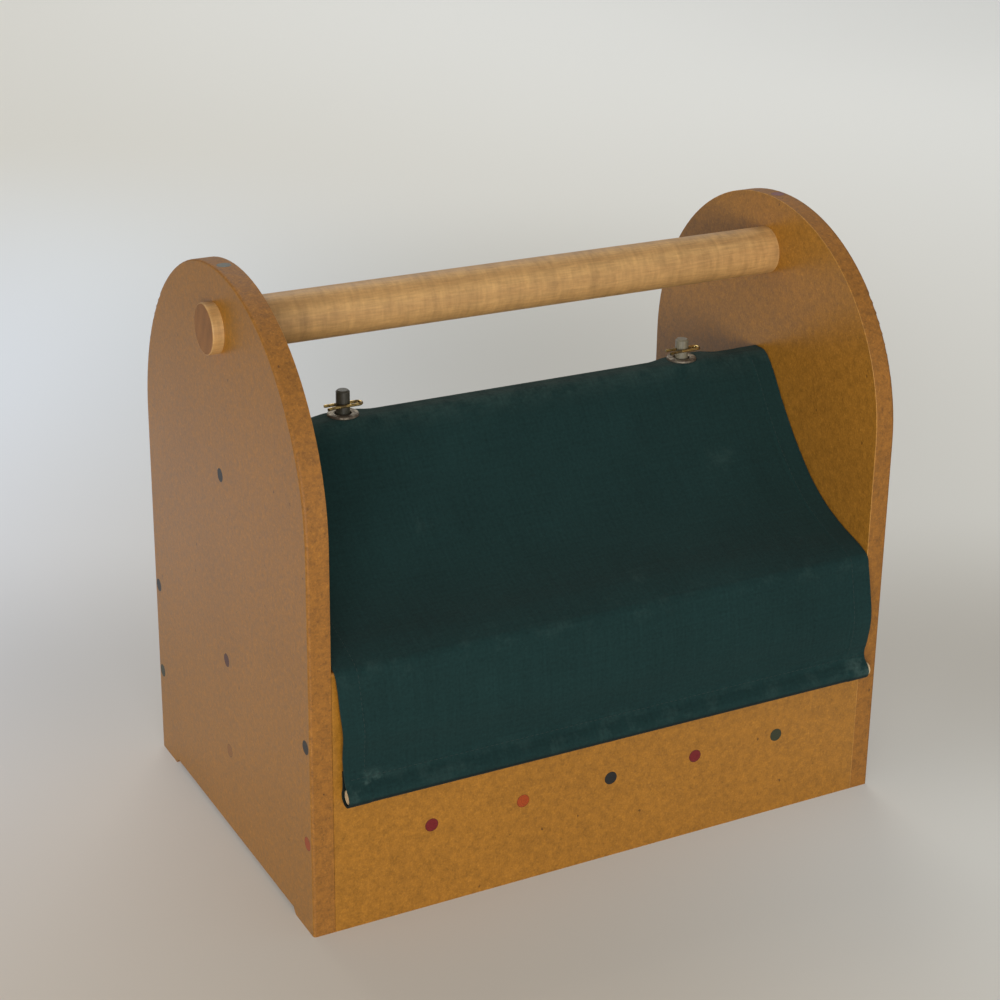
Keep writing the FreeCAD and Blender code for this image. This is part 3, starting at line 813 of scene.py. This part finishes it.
def cover_half(shape, name):
    """Lays a grid of cloth along the cover's route, and gives it thickness and its grommet holes."""
    columns = shape.columns()
    bpy.ops.object.select_all(action="DESELECT")
    bpy.ops.mesh.primitive_grid_add(
        x_subdivisions=len(columns) - 1, y_subdivisions=shape.rows - 1, size=1
    )
    cloth = bpy.context.object
    cloth.name = name
    cloth.data.name = name
    spots = []
    for vertex in cloth.data.vertices:
        column = round((vertex.co.x + 0.5) * (len(columns) - 1))
        row = round((vertex.co.y + 0.5) * (shape.rows - 1))
        spots.append((columns[column], row))
    flat = cloth.data.uv_layers[0]
    flat.name = "cloth"
    for loop in cloth.data.loops:
        x, row = spots[loop.vertex_index]
        flat.data[loop.index].uv = (x, shape.along[row])
    for vertex, (x, row) in zip(cloth.data.vertices, spots):
        vertex.co = shape.place(x, row)
    cloth.data.update()
    only(cloth)
    bpy.ops.object.mode_set(mode="EDIT")
    bpy.ops.mesh.select_all(action="SELECT")
    slope_face = len(columns) * SLOPE_ROW
    if cloth.data.polygons[slope_face].normal.z < 0:
        bpy.ops.mesh.flip_normals()
    bpy.ops.object.mode_set(mode="OBJECT")
    finish_with(cloth, "SOLIDIFY", thickness=shape.settings.thickness, offset=0)
    for end in ("left", "right"):
        punch(cloth, end)
    only(cloth)
    bpy.ops.object.shade_smooth_by_angle(angle=math.radians(50))
    return cloth


def punch(cloth, end):
    """Cuts the hole for a grommet's barrel."""
    low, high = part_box("grommet_" + end)
    post_low, post_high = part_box("cover_post_" + end)
    radius = (post_high.x - post_low.x) / 2 + HOLE_GAP
    middle = (low + high) / 2
    bpy.ops.object.select_all(action="DESELECT")
    bpy.ops.mesh.primitive_cylinder_add(vertices=48, radius=radius, depth=CUTTER_LENGTH, location=middle)
    cutter = bpy.context.object
    finish_with(cloth, "BOOLEAN", object=cutter, operation="DIFFERENCE", solver="EXACT")
    bpy.data.objects.remove(cutter)


def one_stitch(settings):
    """A short thread along X, thickest in its middle."""
    thick = settings.thread_radius
    bpy.ops.object.select_all(action="DESELECT")
    bpy.ops.mesh.primitive_uv_sphere_add(
        segments=6, ring_count=6, radius=thick, rotation=(0, math.pi / 2, 0), location=(0, 0, 0)
    )
    stitch = bpy.context.object
    stitch.scale.z = settings.stitch * HALF_STITCH / thick
    bpy.ops.object.transform_apply(location=True, rotation=True, scale=True)
    bpy.ops.object.shade_smooth()
    return stitch


def stitch_places(shape):
    """Pairs of neighbouring places on the flat cloth, between which each stitch lies."""
    settings = shape.settings
    step = settings.stitch
    seam = shape.along[shape.seam_row] - WAIST_MARGIN
    inwards = settings.hem - HEM_MARGIN
    for x in (shape.left + inwards, shape.right - inwards):
        for n in range(int((seam - BARE_LENGTH) / step)):
            along = FIRST_STITCH + n * step
            yield Vector((x, along)), Vector((x, along + step))
    for n in range(1, int((shape.right - shape.left) / step) - 1):
        x = shape.left + n * step
        yield Vector((x, seam)), Vector((x + step, seam))


def stitching(shape, name):
    """Rows of stitches along the side hems and over the bottom hem; their ends dive into the cloth."""
    first = one_stitch(shape.settings)
    first.name = name
    first.data.name = name
    lift = shape.settings.thickness / 2 - SUNK * shape.settings.thread_radius
    copies = []
    for start, end in stitch_places(shape):
        middle = (start + end) / 2
        forward = (shape.surface(*end) - shape.surface(*start)).normalized()
        up = shape.normal(middle.x, shape.row_at(middle.y))
        across = up.cross(forward).normalized()
        turn = Matrix((forward, across, forward.cross(across))).transposed().to_4x4()
        copy = first.copy()
        copy.data = first.data.copy()
        copy.data.transform(Matrix.Translation(shape.surface(*middle, lift)) @ turn)
        bpy.context.collection.objects.link(copy)
        copies.append(copy)
    bpy.data.objects.remove(first)
    only(*copies)
    bpy.ops.object.join()
    copies[0].name = name
    copies[0].data.name = name
    return copies[0]


# Operators


class BOBBIN_OT_boards(bpy.types.Operator):
    """Gives the six boards their sealed fibreboard finish"""

    bl_idname = "bobbin.boards"
    bl_label = "Finish boards"

    def execute(self, context):
        settings = context.scene.box_boards
        dress("end_panel_left", board_finish("fibreboard_left", 0, settings, inner=1))
        dress("end_panel_right", board_finish("fibreboard_right", 0, settings, inner=-1))
        dress("bottom_board", board_finish("fibreboard_bottom", 2, settings))
        sides = board_finish("fibreboard_sides", 1, settings)
        for node in ("front_panel", "back_panel", "divider"):
            dress(node, sides)
        return {"FINISHED"}


class BOBBIN_OT_round_stock(bpy.types.Operator):
    """Gives the handle, the hem rods, the pegs and the posts their wood"""

    bl_idname = "bobbin.round_stock"
    bl_label = "Finish round stock"

    def execute(self, context):
        settings = context.scene.box_wood
        dress("handle", handle_finish(settings))
        for node, slot in SLOTS.items():
            if slot == "hem_wood":
                dress(node, hem_rod_finish(node, settings))
            elif slot.startswith(("peg_", "post_")):
                dress(node, dyed_finish(node, settings))
        return {"FINISHED"}


class BOBBIN_OT_fittings(bpy.types.Operator):
    """Gives the clips, grommets and washers their metal"""

    bl_idname = "bobbin.fittings"
    bl_label = "Finish fittings"

    def execute(self, context):
        settings = context.scene.box_metal
        brass = brass_finish(settings)
        aged = grommet_finish(settings)
        for end in ("left", "right"):
            dress("hairpin_clip_" + end, brass)
            dress("grommet_" + end, aged)
            dress("grommet_washer_" + end, aged)
        return {"FINISHED"}


class BOBBIN_OT_cover(bpy.types.Operator):
    """Makes the two halves of the canvas cover and their stitching"""

    bl_idname = "bobbin.cover"
    bl_label = "Make cover"

    # Distances out from the ridge line between which the cloth changes over from the ridge to the flap
    bend_start = 0.0098
    bend_end = 0.0200

    def execute(self, context):
        settings = context.scene.box_cover
        shapes = {"front": CoverShape(settings, -1), "back": CoverShape(settings, 1)}
        canvas = canvas_finish(shapes["front"])
        thread = thread_finish(settings)
        for end, shape in shapes.items():
            cloth = cover_half(shape, "cover_%s_cloth" % end)
            cloth.data.materials.append(canvas.material)
            seams = stitching(shape, "cover_%s_stitches" % end)
            seams.data.materials.append(thread.material)
            for piece in (cloth, seams):
                self.hang(piece, shape, end)
            nodes = ["cover_%s_flap" % end]
            if end == "front":
                nodes.append("cover_saddle")
            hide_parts(*nodes)
        return {"FINISHED"}

    def hang(self, piece, shape, end):
        """Bakes a piece's placement into its mesh."""
        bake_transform(piece)


class BOBBIN_OT_stage(bpy.types.Operator):
    """Sets the floor, the light and the camera"""

    bl_idname = "bobbin.stage"
    bl_label = "Set stage"

    # The backdrop: how far its floor reaches to the sides and forward, its wall's place and height, and the
    # radius of the sweep between them
    floor_reach = 12
    wall_place = 4
    wall_height = 4
    sweep = 2.2

    # The room's light, and each lamp's name, place, size, power in watts and tint
    sky_tint = (1.0, 0.97, 0.93, 1.0)
    sky_strength = 0.36
    lamps = (
        ("front_light", (-1.3, -2.5, 0.52), (2.4, 0.95), 60, (1.0, 1.0, 1.0)),
        ("window_light", (-2.6, -0.3, 0.60), (1.8, 1.1), 6, (1.0, 1.0, 1.0)),
        ("back_light", (0.4, 2.0, 2.3), (2.0, 1.4), 27, (1.0, 0.95, 0.86)),
    )
    lamps_aim = (0, 0, 0.15)

    def execute(self, context):
        settings = context.scene.box_stage
        self.backdrop(settings)
        self.lights()
        self.camera(settings)
        context.scene.view_settings.view_transform = "Standard"
        return {"FINISHED"}

    def backdrop(self, settings):
        """A floor that sweeps up into a wall."""
        bpy.ops.object.select_all(action="DESELECT")
        bpy.ops.mesh.primitive_plane_add(size=2 * self.floor_reach, location=(0, 0, 0))
        floor = bpy.context.object
        floor.name = "backdrop"
        for corner in floor.data.vertices:
            corner.co.y = min(corner.co.y, self.wall_place)
        bpy.ops.object.mode_set(mode="EDIT")
        bpy.ops.mesh.select_all(action="DESELECT")
        bpy.ops.object.mode_set(mode="OBJECT")
        for edge in floor.data.edges:
            edge.select = all(floor.data.vertices[v].co.y > 0 for v in edge.vertices)
        bpy.ops.object.mode_set(mode="EDIT")
        bpy.ops.mesh.select_mode(type="EDGE")
        bpy.ops.mesh.extrude_region_move(TRANSFORM_OT_translate={"value": (0, 0, self.wall_height)})
        bpy.ops.object.mode_set(mode="OBJECT")
        for edge in floor.data.edges:
            ends = [floor.data.vertices[v].co for v in edge.vertices]
            edge.select = all(end.y > 0 and end.z < self.wall_height / 2 for end in ends)
        bpy.ops.object.mode_set(mode="EDIT")
        bpy.ops.mesh.bevel(offset=self.sweep, segments=24)
        bpy.ops.object.mode_set(mode="OBJECT")
        bpy.ops.object.shade_smooth()
        floor.data.materials.append(self.backdrop_finish(settings).material)

    def backdrop_finish(self, settings):
        """Paper that gets paler into the depth, with a painted daylight tint on the window side, painted
        shadows of the box and a painted paler patch of light at the front right; where it is seen, up to
        half of its light is its own.

        Side and depth are metres on the floor, to the right of the box and behind it as the camera looks.
        """
        finish = Finish("pale_backdrop")
        turned = finish.placed(finish.coordinate("Object"), turn=(0, 0, -settings.azimuth))
        side, depth, _ = finish.parts(turned)
        far = (depth + 1.6 * side).above(-0.45, 0.45)
        tone = finish.mix(far, linear(settings.floor_near), linear(settings.floor_far))
        tone = finish.mix((depth + side).above(0.8, 2.8), tone, linear(settings.wall))
        window = (0.1 - side).above(0.0, 0.8) * depth.above(-0.6, 0.2) * (1 - depth.above(0.6, 1.7))
        tone = finish.mix(window * 0.8, tone, linear(settings.daylight))
        # Painted shadows of the box on the floor: behind it, behind it to the right, and to its left.
        # Painted light: a paler patch at the front right. Far to the left, a darker and warmer patch, which
        # the box's left face reflects.
        behind = side.near(0.0, 0.5) * depth.near(0.75, 0.7)
        right = side.near(0.36, 0.40) * depth.near(0.16, 0.28)
        front_right_light = side.above(0.05, 0.28) * (1 - depth.above(-0.10, 0.05))
        left = side.near(-0.28, 0.25) * depth.near(0.13, 0.22)
        far_left = (-0.32 * depth - side).above(0.42, 0.85) * (1 - depth.above(0.9, 1.4))
        tone = finish.mix(0.25 * right + 0.8 * far_left, tone, linear(settings.floor_near))
        # How much each painted shadow and the far-left patch darken, and how much the painted light at the
        # front right lightens
        dimmed = 0.23 * behind + 0.21 * right + 0.14 * left + 0.42 * far_left
        tone = finish.shade(tone, 1 - dimmed + 0.12 * front_right_light)
        seen = finish.node("ShaderNodeLightPath", output="Is Camera Ray")
        for ray in ("Is Glossy Ray", "Is Transmission Ray"):
            seen = seen + finish.node("ShaderNodeLightPath", output=ray)
        finish.set(
            Base_Color=tone,
            Roughness=0.9,
            Specular_IOR_Level=0.1,
            Emission_Color=finish.mix(seen * (0.3 + 0.2 * depth.above(-0.3, 0.6)), (0, 0, 0, 1), tone),
            Emission_Strength=1.0,
        )
        return finish

    def lights(self):
        world = bpy.data.worlds.new("soft_room")
        bpy.context.scene.world = world
        world.use_nodes = True
        sky = world.node_tree.nodes["Background"]
        sky.inputs["Color"].default_value = self.sky_tint
        sky.inputs["Strength"].default_value = self.sky_strength
        for lamp in self.lamps:
            self.softbox(*lamp)

    def softbox(self, name, spot, size, power, tint):
        lamp = bpy.data.lights.new(name, "AREA")
        lamp.color = tint
        lamp.shape = "RECTANGLE"
        lamp.size, lamp.size_y = size
        lamp.energy = power
        holder = bpy.data.objects.new(name, lamp)
        bpy.context.scene.collection.objects.link(holder)
        holder.location = spot
        aim = Vector(self.lamps_aim) - Vector(spot)
        holder.rotation_euler = aim.to_track_quat("-Z", "Y").to_euler()

    def camera(self, settings):
        around, over = settings.azimuth, settings.elevation
        back = Vector(
            (math.sin(around) * math.cos(over), -math.cos(around) * math.cos(over), math.sin(over))
        )
        data = bpy.data.cameras.new("camera")
        data.lens = settings.lens
        data.sensor_width = 36
        data.shift_x, data.shift_y = settings.shift
        camera = bpy.data.objects.new("camera", data)
        bpy.context.scene.collection.objects.link(camera)
        camera.location = Vector(settings.aim) + back * settings.distance
        upright = (-back).to_track_quat("-Z", "Y").to_matrix()
        camera.rotation_euler = (upright @ Matrix.Rotation(settings.roll, 3, "Z")).to_euler()
        bpy.context.scene.camera = camera


STEPS = (BOBBIN_OT_stage, BOBBIN_OT_boards, BOBBIN_OT_round_stock, BOBBIN_OT_fittings, BOBBIN_OT_cover)


class BOBBIN_PT_panel(bpy.types.Panel):
    """Lists the steps and their settings"""

    bl_idname = "BOBBIN_PT_panel"
    bl_label = "Bobbin box"
    bl_space_type = "VIEW_3D"
    bl_region_type = "UI"
    bl_category = "Bobbin box"

    def draw(self, context):
        for step in STEPS:
            self.layout.operator(step.bl_idname)
        for group, kind in SETTINGS.items():
            box = self.layout.box()
            for name in kind.__annotations__:
                box.prop(getattr(context.scene, group), name)


CLASSES = (*SETTINGS.values(), *STEPS, BOBBIN_PT_panel)


def register():
    for kind in CLASSES:
        bpy.utils.register_class(kind)
    for group, kind in SETTINGS.items():
        setattr(bpy.types.Scene, group, PointerProperty(type=kind))


def unregister():
    for group in SETTINGS:
        delattr(bpy.types.Scene, group)
    for kind in reversed(CLASSES):
        bpy.utils.unregister_class(kind)


def main():
    register()
    bpy.ops.bobbin.stage()
    bpy.ops.bobbin.boards()
    bpy.ops.bobbin.round_stock()
    bpy.ops.bobbin.fittings()
    bpy.ops.bobbin.cover()


if __name__ == "__main__":
    main()
